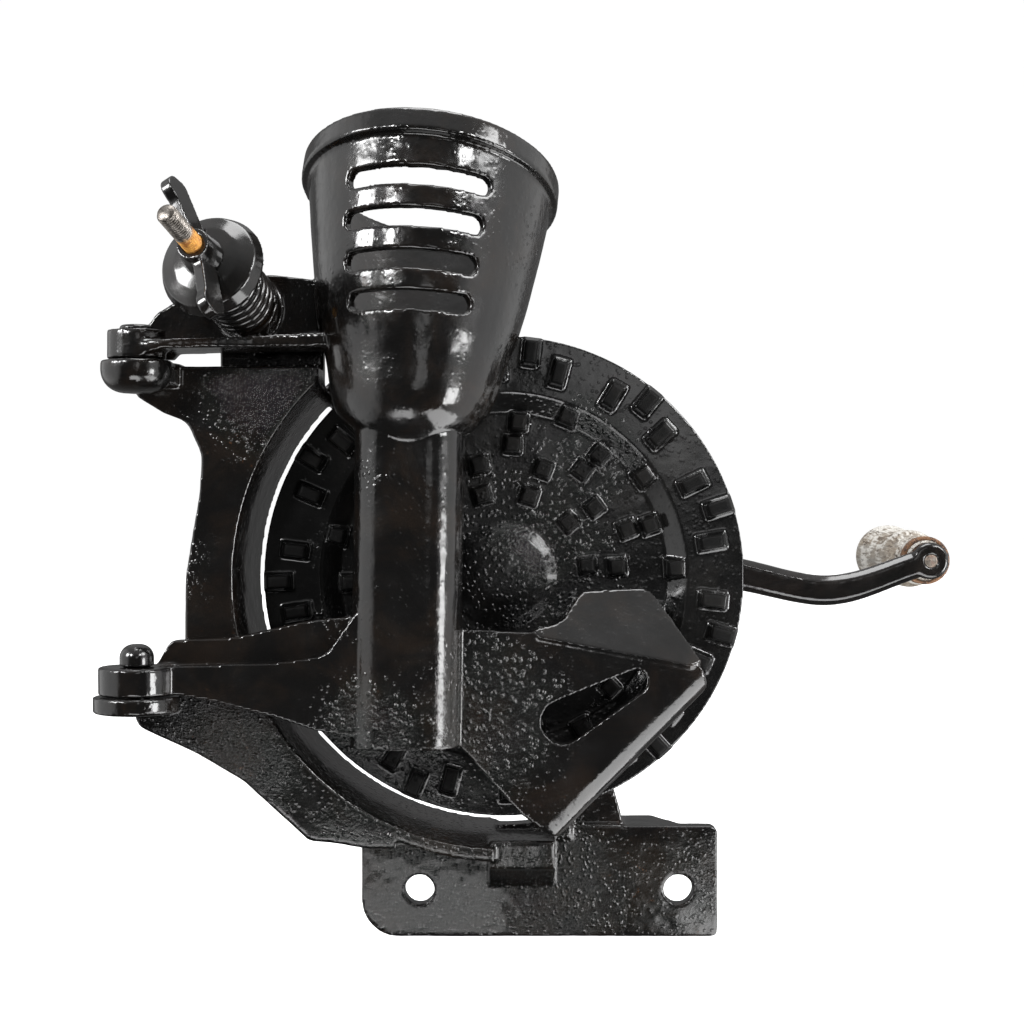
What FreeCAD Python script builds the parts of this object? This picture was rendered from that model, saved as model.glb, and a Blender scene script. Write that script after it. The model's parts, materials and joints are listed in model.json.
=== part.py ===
"""Hand crank corn sheller: a toothed cast-iron disc on a crank shaft, in a frame that bolts to a box,
with a hopper and throat casting that hinges at the left and is held in by a spring on a stud.

Sizes are in millimetres. The shapes are drawn about the disc's axis: X to the right, Z up and Y away
from the box, with Y = 0 at the front of the disc's rim. Each piece is moved as it is saved, so that the
model's origin is midway between the two mounting holes, on the back of the mounting plate.
"""

import FreeCAD, Part
import os
from math import acos, atan2, cos, degrees, hypot, radians, sin, sqrt, tan

V = FreeCAD.Vector
AXIS_Y = V(0, 1, 0)
AXIS_Z = V(0, 0, 1)

# Fits
RUN_FIT = 0.08            # radial gap of a pin or shaft that turns in its hole
SEAT_GAP = 0.4            # gap between faces that slide past each other
BOLT_GAP = 0.5            # radial gap of a stud or bolt in its hole

# Shelling disc
DISC_R = 120.0
BAND_W = 28.0             # flat outer band
RIM_T = 8.0
DISH_DEPTH = 6.0          # how far the dished middle lies behind the band
DISH_SLOPE_W = 10.0
WEB_T = 8.0
HUB_R = 22.0
HUB_BACK = 28.0
DOME_R = 27.0
DOME_H = 6.0
TOOTH_H = 7.0
TOOTH_TAPER = 0.62        # size of a tooth's tip over its foot
TOOTH_ROOT = 1.5          # how far a tooth's foot is sunk in the disc
GROUPS = 11               # groups of outer teeth around the disc
GROUP_START = -15.0
GROUP_PITCH_IN = 8.4      # angle between the three teeth of a group
MIDDLE_INSET, SIDE_INSET = 7.5, 15.0   # from the disc's edge to the middles of the outer teeth
OUTER_TOOTH = (9.0, 16.0)  # width, radial length
INNER_TOOTH = (10.0, 10.0)
INNER_RINGS = (           # first angle, step in half pitches, radius of the even ones and the odd ones
    (2.7, 86.0, 77.5),
    (4.4, 57.0, 66.0),
)
CORE_RING_R, CORE_RING_START = 42.0, 7.0

# Shaft and bearing
SHAFT_R = 9.5
SHAFT_BLIND = 6.0         # thickness of the disc's closed nose in front of the shaft
WASHER_T = 1.8
WASHER_R = 17.0
BEARING_R = 20.0
BEARING_L = 27.0
PIN_R = 3.0               # cross pin that drives the disc
PIN_INSET = 4.0           # from the hub's back face to the pin's axis

# Crank
CRANK_REACH_X, CRANK_REACH_Z = 228.0, 5.8
CRANK_T = 12.0
CRANK_HUB_R = 19.0
CRANK_HUB_L = 20.0
CRANK_END_R = 10.0
CRANK_ROOT_H = 21.0
CRANK_TIP_H = 14.5
CRANK_CHAMFER = 3.0
CRANK_SAG = ((0.35, 2.0), (0.56, 5.0), (0.69, 12.6), (0.765, 14.4), (0.83, 12.3), (0.905, 6.8))
SQUARE = 13.0             # square on the shaft that drives the crank
CRANK_THREAD_R = 6.3
NUT_ACROSS = 20.0
NUT_T = 9.0
NUT_PROUD = 4.0           # thread that stands out of the nut

# Grip
SPINDLE_R = 4.2
RIVET_R = 3.5
GRIP_L = 115.0
GRIP_NECK_R = 11.0
FERRULE_T = 2.0
FERRULE_L = 12.0
GRIP_SHAPE = ((0.0, 13.0), (0.05, 13.2), (0.09, 11.4), (0.14, 13.2), (0.40, 15.6), (0.75, 18.0),
              (0.92, 16.8))
GRIP_END_R = 11.0
SPINDLE_HEAD_R, SPINDLE_HEAD_T = 7.0, 3.0
GRIP_WASHER_R, GRIP_WASHER_T = 10.0, 1.6

# Frame casting
RING_GAP = 4.0            # from the disc's edge to the ring-shaped wall around it
RING_FLARE = 7.0          # how much wider the ring is at its front
RING_BACK, RING_FRONT = 20.0, -30.0
RING_T = 6.5
RING_FROM, RING_TO = 133.5, 268.0
FLANGE_T = 8.0            # flat plate to the left of the ring
FLANGE_DROP = 1.7         # from the upper eye down to the top of the flange
EAR_LEFT, EAR_RIGHT = -141.0, -89.5      # ends of the stud's ear
EAR_T = 8.0
EAR_BACK = 2.0
STUD_BOSS_R, STUD_BOSS_L = 13.0, 9.0
ARM_FRONT_GAP = 3.0
SPOKE_T = 10.0
SPOKE_W = 16.0
SPOKE_ANGLES = (132.6, 207.0)
POST_SPAN = 7.0
PLATE_W, PLATE_H, PLATE_T = 180.0, 56.0, 10.0
PLATE_LEFT = -72.0
PLATE_DROP = 7.0          # from the disc's edge down to the top of the plate
PLATE_BACK = 20.0
PLATE_CORNER = 19.0
PLATE_ROUND = 3.5
HOLE_R = 7.4
HOLE_SPACING = 131.0
HOLE_INSET = 29.2         # left hole from the plate's left edge
HOLE_DROP = 32.0          # holes below the plate's top edge
LEG_X = 47.0
LEDGE_FROM, LEDGE_TO = 49.0, 91.0
LEDGE_D, LEDGE_T = 25.0, 8.0

# Hinge
HINGE_OUT = 54.0          # from the disc's edge to the hinge's axis
HINGE_Y = -45.0
HINGE_PIN_R = 6.0
HEAD_BRIM = 2.1           # how far a pin's head overhangs its shank
PIN_HEAD_H = 10.3
RIVET_HEAD_H = 2.2
LOWER_EYE = (-54.8, -41.3)
LOWER_EYE_R = 18.0
UPPER_EYE = (104.2, 118.0)
UPPER_EYE_R = 13.8
LOWER_LUG_T, LOWER_LUG_R = 8.0, 20.5
UPPER_LUG_T, UPPER_LUG_R = 15.5, 17.0
UPPER_LUG_ROUND = 11.0
LUG_BRIDGE_T = 11.0

# Hopper, throat and guard casting
WALL = 5.0
RIM_C = (-36.0, 0.0, 199.0)
RIM_R = 62.0
RIM_TILT, RIM_ROLL = 20.0, 5.7
COLLAR_H, COLLAR_T, COLLAR_ROUND = 12.0, 2.0, 1.4
NECK_C = (-45.0, -32.0, 66.0)
NECK_R = 25.8
CUP_STATIONS = ((0.055, 32.3), (0.16, 40.0), (0.34, 46.3), (0.53, 52.3), (0.72, 56.7))
SLOT_H = 9.0
SLOTS = (                 # place up the cup, angle to the left end and to the right end
    (0.805, 38.0, 26.0), (0.680, 40.0, 25.0), (0.553, 40.0, 25.0), (0.430, 39.0, 25.0),
)
THROAT_W = 52.0
THROAT_FRONT = -56.0
DISC_CLEAR = 3.5          # between the teeth and the hopper casting
SWING_CLEAR = 6.0         # around the disc, so that the hopper casting can swing
CUP_CLEAR = 1.0           # least gap between the frame and the cup or throat
SPRING_CLEAR = 0.8        # around the outside of the spring
THROAT_BOTTOM = -80.0
THROAT_LEAN = -2.5
THROAT_ROUND = 17.0
GUARD_FRONT, GUARD_T = -36.0, 6.0
GUARD_BACK = -12.0
GUARD_ROLL = 10.0         # radius of the guard's rolled lower right edge
LIP_TILT = 32.0
ARM_T = 7.0
WEB_FRONT = -29.0         # front of the web behind the upper arm

# Spring on its stud
STUD_R = 4.75
STUD_FROM = V(-116.7, 0, 120.8)
STUD_DIR = V(-0.2236, -0.9231, 0.3128).normalize()
STUD_TIP = 129.5
STUD_NUT_ACROSS, STUD_NUT_T = 16.0, 8.0
SEAT_AT = 34.0
SEAT_R = 15.5
SPRING_L = 44.0
SPRING_R = 14.6
SPRING_WIRE_R = 2.3
SPRING_TURNS = 7.0
CUP_R, CUP_DOME, CUP_T = 25.0, 6.0, 2.5
CUP_SKIRT = 2.5
SLEEVE_R = 10.5           # hole in the ear that the stud swings in
WING_HUB_R, WING_HUB_L = 9.5, 14.0
WING_SPAN = 77.0
WING_T = 5.5
WING_TURN = 100.0         # how far round the stud the wing nut stands
WING_TILT = -15.0         # lean of the wings out of the stud's line

# Worked out
MIDDLE_R, SIDE_R = DISC_R - MIDDLE_INSET, DISC_R - SIDE_INSET
PIN_Y = HUB_BACK - PIN_INSET
THROAT_BACK = -TOOTH_H - DISC_CLEAR
RING_BACK_R = DISC_R + RING_GAP
RING_FRONT_R = RING_BACK_R + RING_FLARE
PLATE_TOP = -DISC_R - PLATE_DROP
HINGE_X = -DISC_R - HINGE_OUT
PIN_HEAD_R = HINGE_PIN_R + HEAD_BRIM
BEARING_FRONT = HUB_BACK + WASHER_T + 2 * SEAT_GAP
BEARING_BACK = BEARING_FRONT + BEARING_L
CRANK_FRONT = BEARING_BACK + WASHER_T + 2 * SEAT_GAP
CRANK_BACK = CRANK_FRONT + CRANK_T
GRIP_FROM = CRANK_BACK + SEAT_GAP
GRIP_TO = GRIP_FROM + GRIP_L
SPOKE_FRONT = BEARING_FRONT + 0.5
PLATE_FRONT = PLATE_BACK - PLATE_T
PLATE_BOTTOM = PLATE_TOP - PLATE_H
HOLE_X = (PLATE_LEFT + HOLE_INSET, PLATE_LEFT + HOLE_INSET + HOLE_SPACING)
HOLE_Z = PLATE_TOP - HOLE_DROP
ORIGIN = V(sum(HOLE_X) / 2, PLATE_BACK, HOLE_Z)
FLANGE_BACK = RING_FRONT + FLANGE_T
CUP_AT = SEAT_AT + SPRING_L
WING_AT = CUP_AT + CUP_DOME + CUP_T


def in_xz(y):
    """Places outline points (x, z) at depth y."""
    return lambda a, b: V(a, y, b)


def in_xy(z):
    """Places outline points (x, y) at height z."""
    return lambda a, b: V(a, b, z)


def rounded_face(points, at):
    """Face inside a closed outline of (a, b, corner radius)."""
    corners = []
    for i, (a, b, r) in enumerate(points):
        before, after = points[i - 1], points[(i + 1) % len(points)]
        p = V(a, b, 0)
        u = (V(before[0], before[1], 0) - p).normalize()
        w = (V(after[0], after[1], 0) - p).normalize()
        if r == 0:
            corners.append((p, None, p))
            continue
        half = acos(max(-1.0, min(1.0, u.dot(w)))) / 2
        middle = p + (u + w).normalize() * (r / sin(half) - r)
        corners.append((p + u * (r / tan(half)), middle, p + w * (r / tan(half))))
    edges = []
    for i, (start, middle, end) in enumerate(corners):
        if middle is not None:
            arc = Part.Arc(at(start.x, start.y), at(middle.x, middle.y), at(end.x, end.y))
            edges.append(arc.toShape())
        following = corners[(i + 1) % len(corners)][0]
        if (following - end).Length > 1e-6:
            edges.append(Part.makeLine(at(end.x, end.y), at(following.x, following.y)))
    return Part.Face(Part.Wire(edges))


def plate_y(points, y0, y1):
    """Outline in X and Z, with corner radii, from depth y0 to y1."""
    return rounded_face(points, in_xz(y0)).extrude(V(0, y1 - y0, 0))


def plate_z(points, z0, z1):
    """Outline in X and Y, with corner radii, from height z0 to z1."""
    return rounded_face(points, in_xy(z0)).extrude(V(0, 0, z1 - z0))


def rod(r, start, end):
    """Round bar between two points."""
    return Part.makeCylinder(r, (end - start).Length, start, end - start)


def rod_y(r, y0, y1, x=0.0, z=0.0):
    return rod(r, V(x, y0, z), V(x, y1, z))


def rod_z(r, z0, z1, x, y):
    return rod(r, V(x, y, z0), V(x, y, z1))


def turned(points, x=0.0, z=0.0):
    """Solid of revolution about a Y line at x, z, from a closed outline of (radius, y)."""
    corners = [V(x + r, y, z) for r, y in points]
    face = Part.Face(Part.makePolygon(corners + corners[:1]))
    return face.revolve(V(x, 0, z), AXIS_Y, 360)


def fused(first, *others):
    """One solid from pieces that overlap."""
    return first.fuse(list(others)).removeSplitter()


def stud_point(t):
    return STUD_FROM + STUD_DIR * t


def on_stud(r, t0, t1):
    """Round bar on the stud's line, between two distances along it."""
    return rod(r, stud_point(t0), stud_point(t1))


def hexagon(across, t, centre, direction, turn=0.0):
    """Hexagonal nut blank, from centre along direction."""
    side = V(0, 0, 1).cross(direction)
    side = (V(1, 0, 0) if side.Length < 0.1 else side).normalize()
    up = direction.cross(side)
    corner_r = across / sqrt(3)
    ring = []
    for k in range(6):
        a = radians(60 * k + turn)
        ring.append(centre + side * (corner_r * cos(a)) + up * (corner_r * sin(a)))
    return Part.Face(Part.makePolygon(ring + ring[:1])).extrude(direction * t)


# Shelling disc


def tooth(r, angle, width, length, foot_y, height):
    """Blunt tooth standing towards -Y, with its foot at foot_y."""
    wires = []
    for share, y in ((1.0, foot_y + TOOTH_ROOT), (TOOTH_TAPER, foot_y - height)):
        w, h = width * share / 2, length * share / 2
        flat = [V(r - h, y, -w), V(r + h, y, -w), V(r + h, y, w), V(r - h, y, w)]
        wires.append(Part.makePolygon(flat + flat[:1]))
    shape = Part.makeLoft(wires, True, True)
    shape.rotate(V(0, 0, 0), AXIS_Y, -angle)
    return shape


def shelling_disc():
    band_r = DISC_R - BAND_W
    dish_r = band_r - DISH_SLOPE_W
    web_back = DISH_DEPTH + WEB_T
    nose = DISH_DEPTH - DOME_H
    outline = [
        (0, nose), (DOME_R * 0.45, nose + 0.7), (DOME_R * 0.8, nose + 3.0), (DOME_R, DISH_DEPTH),
        (dish_r, DISH_DEPTH), (band_r, 0), (DISC_R, 0), (DISC_R, RIM_T), (band_r + 2, RIM_T),
        (dish_r, web_back), (HUB_R + 4, web_back), (HUB_R, web_back + 4), (HUB_R, HUB_BACK),
        (SHAFT_R, HUB_BACK), (SHAFT_R, nose + SHAFT_BLIND), (0, nose + SHAFT_BLIND),
    ]
    body = turned(outline)
    teeth = []
    pitch = 360.0 / GROUPS
    for k in range(GROUPS):
        middle = GROUP_START + k * pitch
        teeth.append(tooth(MIDDLE_R, middle, *OUTER_TOOTH, 0, TOOTH_H))
        for side in (-1, 1):
            teeth.append(tooth(SIDE_R, middle + side * GROUP_PITCH_IN, *OUTER_TOOTH, 0, TOOTH_H))
        teeth.append(tooth(CORE_RING_R, CORE_RING_START + k * pitch, *INNER_TOOTH, DISH_DEPTH, TOOTH_H))
    for start, even_r, odd_r in INNER_RINGS:
        for k in range(2 * GROUPS):
            r = odd_r if k % 2 else even_r
            foot = DISH_DEPTH * min(1.0, max(0.0, (band_r - r) / DISH_SLOPE_W))
            teeth.append(tooth(r, start + k * pitch / 2, *INNER_TOOTH, foot, TOOTH_H))
    cross_hole = rod(PIN_R, V(0, PIN_Y, -2 * HUB_R), V(0, PIN_Y, 2 * HUB_R))
    return fused(body, *teeth).cut(cross_hole)


def disc_pin():
    return rod(PIN_R, V(0, PIN_Y, -HUB_R - 1), V(0, PIN_Y, HUB_R + 1))


def drive_shaft():
    nose = DISH_DEPTH - DOME_H + SHAFT_BLIND
    thread_from = CRANK_FRONT + CRANK_HUB_L - 1.0
    end = CRANK_FRONT + CRANK_HUB_L + WASHER_T + NUT_T + NUT_PROUD
    square = Part.makeBox(SQUARE, thread_from - CRANK_FRONT, SQUARE, V(-SQUARE / 2, CRANK_FRONT, -SQUARE / 2))
    body = fused(rod_y(SHAFT_R, nose, CRANK_FRONT), square, rod_y(CRANK_THREAD_R, thread_from, end))
    return body.cut(rod(PIN_R, V(0, PIN_Y, -2 * SHAFT_R), V(0, PIN_Y, 2 * SHAFT_R)))


def thrust_washer(y):
    return rod_y(WASHER_R, y, y + WASHER_T).cut(rod_y(SHAFT_R, y - 1, y + WASHER_T + 1))


# Crank


def crank_arm():
    """Flat bar that dips below the line from the shaft to the grip, with a round boss at each end."""
    reach = V(CRANK_REACH_X, 0, CRANK_REACH_Z)
    across = V(-CRANK_REACH_Z, 0, CRANK_REACH_X).normalize()
    stations = [(0.0, 0.0)] + list(CRANK_SAG) + [(1.0, 0.0)]
    upper, lower = [], []
    for share, sag in stations:
        half = (CRANK_ROOT_H + (CRANK_TIP_H - CRANK_ROOT_H) * share) / 2
        centre = reach * share - across * sag + V(0, CRANK_FRONT, 0)
        upper.append(centre + across * half)
        lower.append(centre - across * half)
    curves = []
    for row in (upper, lower):
        curve = Part.BSplineCurve()
        curve.interpolate(row)
        curves.append(curve.toShape())
    ends = [Part.makeLine(upper[0], lower[0]), Part.makeLine(upper[-1], lower[-1])]
    profile = Part.Face(Part.Wire(Part.__sortEdges__(curves + ends)))
    bar = profile.extrude(V(0, CRANK_T, 0))
    long_edges = [e for e in bar.Edges if e.Length > CRANK_REACH_X / 2]
    bar = bar.makeChamfer(CRANK_CHAMFER, long_edges)
    hub = rod_y(CRANK_HUB_R, CRANK_FRONT, CRANK_FRONT + CRANK_HUB_L)
    tip = rod_y(CRANK_END_R, CRANK_FRONT, CRANK_BACK, CRANK_REACH_X, CRANK_REACH_Z)
    tip = tip.makeChamfer(1.5, [e for e in tip.Edges if len(e.Vertexes) == 1])
    body = fused(bar, hub, tip)
    hole = SQUARE + 0.1
    corner = V(-hole / 2, CRANK_FRONT - CRANK_HUB_L, -hole / 2)
    body = body.cut(Part.makeBox(hole, 3 * CRANK_HUB_L, hole, corner))
    return body.cut(rod_y(RIVET_R, CRANK_FRONT - 1, CRANK_BACK + 1, CRANK_REACH_X, CRANK_REACH_Z))


def crank_washer():
    y = CRANK_FRONT + CRANK_HUB_L
    return rod_y(WASHER_R, y, y + WASHER_T).cut(rod_y(CRANK_THREAD_R + 0.2, y - 1, y + WASHER_T + 1))


def crank_nut():
    y = CRANK_FRONT + CRANK_HUB_L + WASHER_T
    blank = hexagon(NUT_ACROSS, NUT_T, V(0, y, 0), AXIS_Y)
    return blank.cut(rod_y(CRANK_THREAD_R, y - 1, y + NUT_T + 1))


def grip_spindle():
    x, z = CRANK_REACH_X, CRANK_REACH_Z
    head_from = GRIP_TO + SEAT_GAP + GRIP_WASHER_T
    head = rod_y(SPINDLE_HEAD_R, head_from, head_from + SPINDLE_HEAD_T, x, z)
    far_rim = [e for e in head.Edges if len(e.Vertexes) == 1 and e.CenterOfMass.y > head_from + 1]
    head = head.makeChamfer(1.2, far_rim)
    rivet = rod_y(RIVET_R, CRANK_FRONT, CRANK_BACK, x, z)
    return fused(rod_y(SPINDLE_R, CRANK_BACK, head_from, x, z), head, rivet)


def grip_washer():
    y = GRIP_TO + SEAT_GAP
    x, z = CRANK_REACH_X, CRANK_REACH_Z
    return rod_y(GRIP_WASHER_R, y, y + GRIP_WASHER_T, x, z).cut(rod_y(SPINDLE_R, y - 1, y + 9, x, z))


def crank_grip():
    """Wooden barrel that is thinnest near the crank, with a neck for the ferrule."""
    shoulder = GRIP_FROM + FERRULE_L
    barrel_l = GRIP_L - FERRULE_L
    x, z = CRANK_REACH_X, CRANK_REACH_Z
    curve = Part.BSplineCurve()
    curve.interpolate([V(x + r, shoulder + share * barrel_l, z) for share, r in GRIP_SHAPE]
                      + [V(x + GRIP_END_R, GRIP_TO, z)])
    bore_r = SPINDLE_R + RUN_FIT
    first, last = V(x + GRIP_SHAPE[0][1], shoulder, z), V(x + GRIP_END_R, GRIP_TO, z)
    rest = [last, V(x + bore_r, GRIP_TO, z), V(x + bore_r, GRIP_FROM, z), V(x + GRIP_NECK_R, GRIP_FROM, z),
            V(x + GRIP_NECK_R, shoulder, z), first]
    edges = [curve.toShape()] + [Part.makeLine(a, b) for a, b in zip(rest, rest[1:])]
    return Part.Face(Part.Wire(edges)).revolve(V(x, 0, z), AXIS_Y, 360)


def grip_ferrule():
    x, z = CRANK_REACH_X, CRANK_REACH_Z
    outer_r = GRIP_NECK_R + FERRULE_T
    sleeve = rod_y(outer_r, GRIP_FROM, GRIP_FROM + FERRULE_L, x, z)
    return sleeve.cut(rod_y(GRIP_NECK_R, GRIP_FROM - 1, GRIP_FROM + FERRULE_L + 1, x, z))


# Frame casting


def ring_wall():
    """Slightly flared wall around the left and the bottom of the disc."""
    section = [V(RING_BACK_R, RING_BACK, 0), V(RING_FRONT_R, RING_FRONT, 0),
               V(RING_FRONT_R + RING_T, RING_FRONT, 0), V(RING_BACK_R + RING_T, RING_BACK, 0)]
    face = Part.Face(Part.makePolygon(section + section[:1]))
    face.rotate(V(0, 0, 0), AXIS_Y, -RING_FROM)
    return face.revolve(V(0, 0, 0), AXIS_Y, -(RING_TO - RING_FROM))


def ring_flange():
    """Flat plate to the left of the ring, with the hinge lugs' roots at its corners."""
    top = UPPER_EYE[0] - FLANGE_DROP
    left, foot = HINGE_X, PLATE_TOP
    outline = [
        (EAR_RIGHT, top, 0), (left - 4.5, top, 4), (left - 4.5, 88.5, 6), (left + 9.0, 80.0, 12),
        (left + 21.0, 75.5, 10), (left + 27.8, 60.0, 14), (left + 27.0, 42.0, 30), (left + 20.0, 0.0, 60),
        (left + 19.5, -56.5, 4), (left - 4.5, -57.5, 3), (left - 4.5, -71.0, 9), (left + 26.0, -85.0, 30),
        (left + 48.0, -98.0, 20), (-94.0, foot, 6), (-66.0, foot - 3.0, 3), (-60.0, -100.0, 0),
        (EAR_RIGHT, -60.0, 0),
    ]
    flange = plate_y(outline, RING_FRONT, FLANGE_BACK)
    inside = rod_y(RING_FRONT_R + 1.0, RING_FRONT - 5, FLANGE_BACK + 5)
    return flange.cut(inside)


def sector_post(angle):
    """Short stretch of wall that carries a spoke behind the ring."""
    inner, outer = RING_BACK_R - 1.0, RING_BACK_R + RING_T + 2.0
    section = [V(inner, RING_BACK - 4, 0), V(outer, RING_BACK - 4, 0),
               V(outer, SPOKE_FRONT + SPOKE_T, 0), V(inner, SPOKE_FRONT + SPOKE_T, 0)]
    face = Part.Face(Part.makePolygon(section + section[:1]))
    face.rotate(V(0, 0, 0), AXIS_Y, -(angle - POST_SPAN / 2))
    return face.revolve(V(0, 0, 0), AXIS_Y, -POST_SPAN)


def spoke(angle, length, width=SPOKE_W):
    bar = Part.makeBox(length, SPOKE_T, width, V(0, SPOKE_FRONT, -width / 2))
    bar.rotate(V(0, 0, 0), AXIS_Y, -angle)
    return bar


def lug_bridge(z0, z1):
    """Thick web from a hinge lug back to the flange."""
    left, right = HINGE_X - 4.0, HINGE_X + 18.0
    return plate_z([(left, HINGE_Y, 0), (right - 4, HINGE_Y - 4, 6), (right, FLANGE_BACK, 0),
                    (left, FLANGE_BACK, 0)], z0, z1)


def hinge_lugs():
    """Flat lug under the lower eye, and a lug with a domed underside under the upper eye."""
    lower_top, upper_top = LOWER_EYE[0] - SEAT_GAP, UPPER_EYE[0] - SEAT_GAP
    lower = rod_z(LOWER_LUG_R, lower_top - LOWER_LUG_T, lower_top, HINGE_X, HINGE_Y)
    upper = rod_z(UPPER_LUG_R, upper_top - UPPER_LUG_T, upper_top, HINGE_X, HINGE_Y)
    upper = upper.makeFillet(UPPER_LUG_ROUND, [e for e in upper.Edges if e.CenterOfMass.z < upper_top - 10
                                               and len(e.Vertexes) == 1])
    return [lower, upper, lug_bridge(lower_top - LOWER_LUG_T, lower_top),
            lug_bridge(upper_top - LUG_BRIDGE_T, upper_top)]


def mounting_plate():
    right = PLATE_LEFT + PLATE_W
    return plate_y([(PLATE_LEFT, PLATE_TOP, PLATE_ROUND), (right, PLATE_TOP, PLATE_ROUND),
                    (right, PLATE_BOTTOM, PLATE_ROUND), (PLATE_LEFT, PLATE_BOTTOM, PLATE_CORNER)],
                   PLATE_FRONT, PLATE_BACK)


def plate_neck():
    """Thick web between the foot of the ring and the mounting plate."""
    z = PLATE_TOP
    neck = plate_y([(-92.0, z + 19, 0), (-92.0, z + 3, 6), (PLATE_LEFT, z - 6, 0),
                    (34.0, z - 6, 0), (34.0, z + 15, 0)], PLATE_FRONT - 2, PLATE_BACK)
    step = plate_y([(-94.0, z + 15, 0), (-94.0, z + 1, 3), (-66.0, z - 4, 3), (-52.0, z - 4, 0),
                    (-52.0, z + 15, 0)], RING_FRONT, PLATE_BACK)
    inside = rod_y(RING_BACK_R + 1.5, RING_FRONT - 5, PLATE_BACK + 5)
    return [neck.cut(inside), step.cut(rod_y(RING_FRONT_R + 1.0, RING_FRONT - 5, PLATE_BACK + 5))]


def foot_block():
    """Block under the lowest point of the disc, sloping down to the plate."""
    x, top = -7.0, PLATE_TOP - 1.0
    profile = [V(x, -25, top), V(x, PLATE_BACK, top), V(x, PLATE_BACK, top - 28), V(x, PLATE_FRONT, top - 28),
               V(x, -24, top - 14)]
    return Part.Face(Part.makePolygon(profile + profile[:1])).extrude(V(32, 0, 0))


def ledge():
    """Rib behind the top of the plate that rests on the edge of the box."""
    return plate_z([(LEDGE_FROM, PLATE_BACK - 2, 0), (LEDGE_TO, PLATE_BACK - 2, 0),
                    (LEDGE_TO - 14, PLATE_BACK + LEDGE_D, 3), (LEDGE_FROM, PLATE_BACK + LEDGE_D, 3)],
                   PLATE_TOP - LEDGE_T, PLATE_TOP)


def leg():
    """Leg behind the disc, from the bearing down to the plate."""
    angle = degrees(atan2(PLATE_TOP, LEG_X))
    bar = spoke(angle, hypot(PLATE_TOP, LEG_X) - 2)
    x, z = LEG_X, PLATE_TOP
    foot = plate_y([(x - 13, z + 16, 0), (x + 9, z + 18, 0), (x + 15, z - 4, 0), (x - 15, z - 4, 0)],
                   PLATE_FRONT + 2, SPOKE_FRONT + SPOKE_T)
    return [bar, foot]


def frame_ear():
    """Ear behind the flange's top that the stud is bolted to."""
    top = UPPER_EYE[0] - FLANGE_DROP
    ear = plate_y([(EAR_LEFT, top - 12, 0), (EAR_RIGHT, top - 12, 0), (EAR_RIGHT, 128.0, 10),
                   (-112.0, 139.0, 14), (-126.0, 139.0, 14), (EAR_LEFT, 124.0, 12)], EAR_BACK - EAR_T, EAR_BACK)
    shelf = plate_z([(EAR_LEFT, RING_FRONT + 1, 0), (EAR_RIGHT, RING_FRONT + 1, 0), (EAR_RIGHT, EAR_BACK, 0),
                     (EAR_LEFT, EAR_BACK, 0)], top - 8, top)
    boss = on_stud(STUD_BOSS_R, -STUD_BOSS_L, 7.0)
    return [ear, shelf, boss]


def frame_casting():
    bearing = rod_y(BEARING_R, BEARING_FRONT, BEARING_BACK)
    pieces = [ring_flange(), bearing, mounting_plate(), foot_block(), ledge()]
    pieces += leg() + plate_neck() + frame_ear()
    pieces += hinge_lugs()
    for angle in SPOKE_ANGLES:
        pieces += [spoke(angle, RING_BACK_R + 4), sector_post(angle)]
    body = fused(ring_wall(), *pieces)
    cuts = [rod_y(SHAFT_R + RUN_FIT, BEARING_FRONT - 5, BEARING_BACK + 5)]
    cuts += [rod_y(HOLE_R, PLATE_FRONT - 5, PLATE_BACK + 5, x, HOLE_Z) for x in HOLE_X]
    for z, _ in (LOWER_EYE, UPPER_EYE):
        cuts.append(rod_z(HINGE_PIN_R, z - UPPER_LUG_T - 5, z + 2, HINGE_X, HINGE_Y))
    cuts += [on_stud(STUD_R + BOLT_GAP, -20.0, 20.0)]
    cuts += [cup_loft(-CUP_CLEAR), throat(CUP_CLEAR, THROAT_BACK, NECK_C[2] + 4, THROAT_BOTTOM)]
    return body.cut(cuts)


# Hopper, throat and guard casting


def along_cup(share):
    """Centre and normal of the cup's section at a share of the way from the neck to the rim."""
    low, high = V(*NECK_C), V(*RIM_C)
    centre = low + (high - low) * share
    tilt, roll = radians(RIM_TILT * share), radians(RIM_ROLL * share)
    normal = V(sin(roll), sin(tilt), cos(tilt)).normalize()
    return centre, normal


def cup_loft(inset, past_rim=False):
    """Smooth horn through the cup's circles, each smaller by inset, from the neck to the rim or past it."""
    wires = []
    stations = ((-0.02, NECK_R - 3.0), (0.02, NECK_R + 1.5)) + CUP_STATIONS + ((0.86, 59.6), (1.0, RIM_R))
    if past_rim:
        stations += ((1.08, RIM_R + 1.2),)
    for share, r in stations:
        centre, normal = along_cup(share)
        wires.append(Part.Wire(Part.makeCircle(r - inset, centre, normal)))
    return Part.makeLoft(wires, True, False)


def collar():
    centre, normal = along_cup(1.0)
    base = centre - normal * COLLAR_H
    band = Part.makeCylinder(RIM_R + COLLAR_T, COLLAR_H, base, normal)
    return band.makeFillet(COLLAR_ROUND, [e for e in band.Edges if len(e.Vertexes) == 1])


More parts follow.
